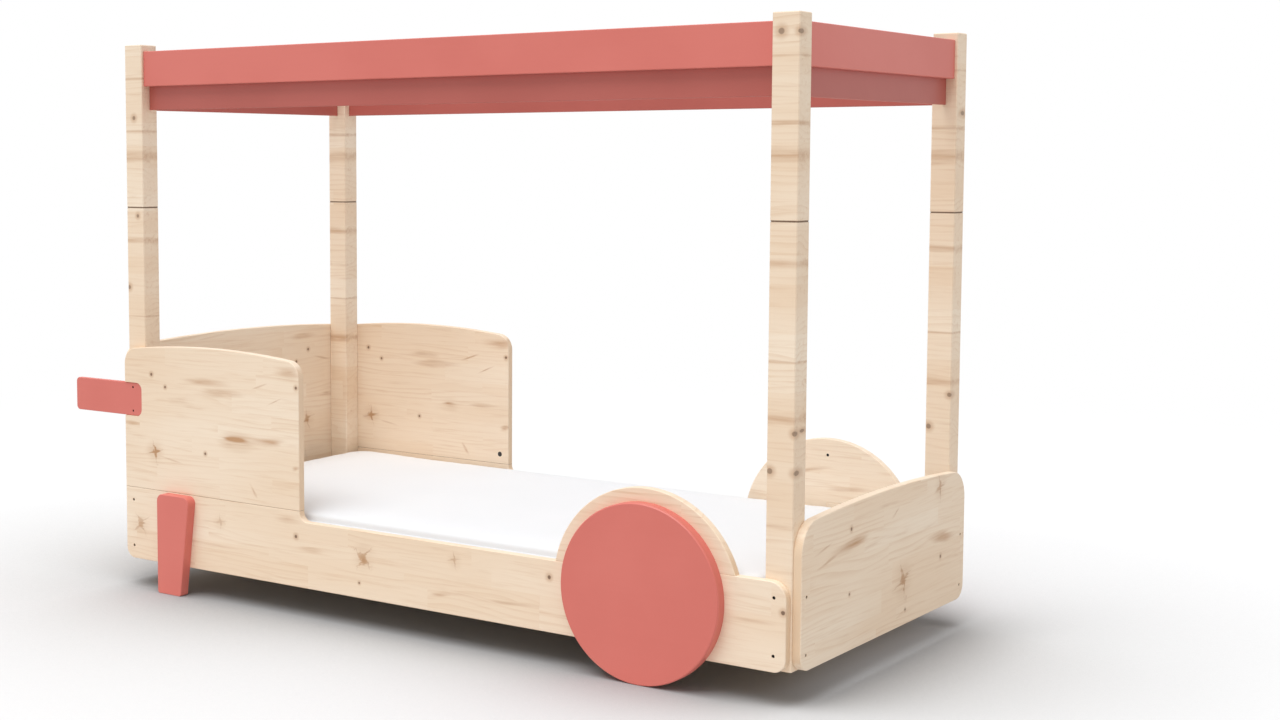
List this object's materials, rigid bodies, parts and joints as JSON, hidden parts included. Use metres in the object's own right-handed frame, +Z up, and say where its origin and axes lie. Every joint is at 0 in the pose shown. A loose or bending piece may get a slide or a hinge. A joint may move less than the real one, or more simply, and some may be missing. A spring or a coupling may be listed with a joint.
{
  "type": "children's car bed",
  "caption": "Low child's bed shaped like a car: pine rails with disc wheels, tapered legs, guards, handles and an open painted canopy frame on tall posts.",
  "frame": {"origin": "on the floor, under the middle of the bed's overall box", "axes": "+X towards the foot of the bed, +Y towards the far side, +Z up"},
  "size_m": [2.269, 1.008, 1.497],
  "materials": {
    "pine": "clear matt lacquer",
    "slat_pine": "planed, unfinished",
    "beech": "plain",
    "coral_paint": "satin paint",
    "mattress_cover": "woven cotton",
    "webbing": "woven polyester",
    "dark_steel": "black oxide",
    "zinc_steel": "zinc plated"
  },
  "bodies": {
    "bed_frame": {"arch_screws": "dark_steel", "board_dowels": "beech", "cam_bolts": "zinc_steel", "cam_locks": "zinc_steel", "far_canopy_fascia": "coral_paint", "far_canopy_liner": "coral_paint", "far_fender_arch": "pine", "far_foot_lower_post": "pine", "far_foot_upper_post": "pine", "far_guard_panel": "pine", "far_handle": "coral_paint", "far_head_lower_post": "pine", "far_head_upper_post": "pine", "far_ledger": "slat_pine", "far_leg": "coral_paint", "far_side_rail": "pine", "far_slat_strap": "webbing", "far_wheel": "coral_paint", "foot_canopy_fascia": "coral_paint", "foot_canopy_liner": "coral_paint", "foot_panel": "pine", "frame_screws": "dark_steel", "handle_screws": "dark_steel", "head_canopy_fascia": "coral_paint", "head_canopy_liner": "coral_paint", "head_panel": "pine", "near_canopy_fascia": "coral_paint", "near_canopy_liner": "coral_paint", "near_fender_arch": "pine", "near_foot_lower_post": "pine", "near_foot_upper_post": "pine", "near_guard_panel": "pine", "near_handle": "coral_paint", "near_head_lower_post": "pine", "near_head_upper_post": "pine", "near_ledger": "slat_pine", "near_leg": "coral_paint", "near_side_rail": "pine", "near_slat_strap": "webbing", "near_wheel": "coral_paint", "post_dowels": "beech", "post_studs": "zinc_steel", "slat_01": "slat_pine", "slat_02": "slat_pine", "slat_03": "slat_pine", "slat_04": "slat_pine", "slat_05": "slat_pine", "slat_06": "slat_pine", "slat_07": "slat_pine", "slat_08": "slat_pine", "slat_09": "slat_pine", "slat_10": "slat_pine", "slat_11": "slat_pine", "slat_12": "slat_pine", "wheel_and_leg_screws": "dark_steel"},
    "mattress": {"mattress": "mattress_cover"}
  },
  "joints": [
    {"name": "mattress_lift", "type": "slide", "parent": "bed_frame", "child": "mattress", "axis": [0, 0, 1], "range_m": [0, 0.3]}
  ]
}
